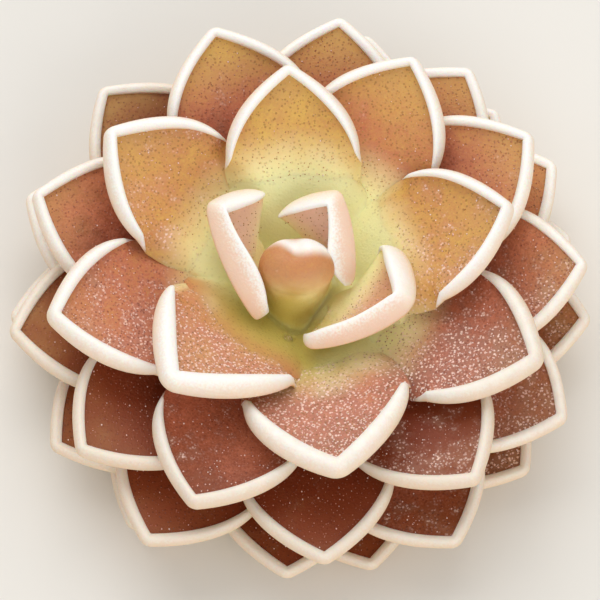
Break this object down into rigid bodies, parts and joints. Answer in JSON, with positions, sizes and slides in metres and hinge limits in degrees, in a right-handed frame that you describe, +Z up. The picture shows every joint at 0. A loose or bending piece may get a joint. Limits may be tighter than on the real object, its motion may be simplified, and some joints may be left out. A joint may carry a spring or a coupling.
{
  "type": "butterwort",
  "caption": "Butterwort in its compact winter rosette, a tight spiral of fleshy rimmed leaves round a bud, cut flat under the crown to rest on a surface.",
  "frame": {"origin": "middle of the flat cut face under the crown, on the axis of the rosette", "axes": "+Z up along the rosette's axis, away from the cut face; the viewer of the rosette's best side stands at -Y, with +X to the right"},
  "size_m": [0.0427, 0.0425, 0.0148],
  "materials": {
    "crown_flesh": "pale yellow-green stem flesh, soft satin, cut flat underneath",
    "leaf_young": "moist translucent leaf flesh, orange-tan face with fine dark gland dots, yellow-green base, white rim",
    "leaf_mature": "moist translucent leaf flesh, salmon to brick red face with fine dark gland dots and dew, cream rim",
    "leaf_old": "moist leaf flesh, dull brick red face with an olive tint near the tip and dew, thin cream rim"
  },
  "bodies": {
    "root": {"crown": "crown_flesh", "leaf_00": "leaf_young", "leaf_01": "leaf_young", "leaf_02": "leaf_young", "leaf_03": "leaf_young", "leaf_04": "leaf_young", "leaf_05": "leaf_young", "leaf_06": "leaf_young", "leaf_07": "leaf_young", "leaf_08": "leaf_young", "leaf_09": "leaf_young", "leaf_10": "leaf_mature", "leaf_11": "leaf_mature", "leaf_12": "leaf_mature", "leaf_13": "leaf_mature", "leaf_14": "leaf_mature", "leaf_15": "leaf_mature", "leaf_16": "leaf_mature", "leaf_17": "leaf_mature", "leaf_18": "leaf_mature", "leaf_19": "leaf_mature", "leaf_20": "leaf_mature", "leaf_21": "leaf_mature", "leaf_22": "leaf_mature", "leaf_23": "leaf_mature", "leaf_24": "leaf_mature", "leaf_25": "leaf_old", "leaf_26": "leaf_old", "leaf_27": "leaf_old", "leaf_28": "leaf_old", "leaf_29": "leaf_old", "leaf_30": "leaf_old", "leaf_31": "leaf_old", "leaf_32": "leaf_old", "leaf_33": "leaf_old", "leaf_34": "leaf_old", "leaf_35": "leaf_old", "leaf_36": "leaf_old", "leaf_37": "leaf_old", "leaf_38": "leaf_old", "leaf_39": "leaf_old", "leaf_40": "leaf_old", "leaf_41": "leaf_old", "leaf_42": "leaf_old"}
  },
  "joints": []
}
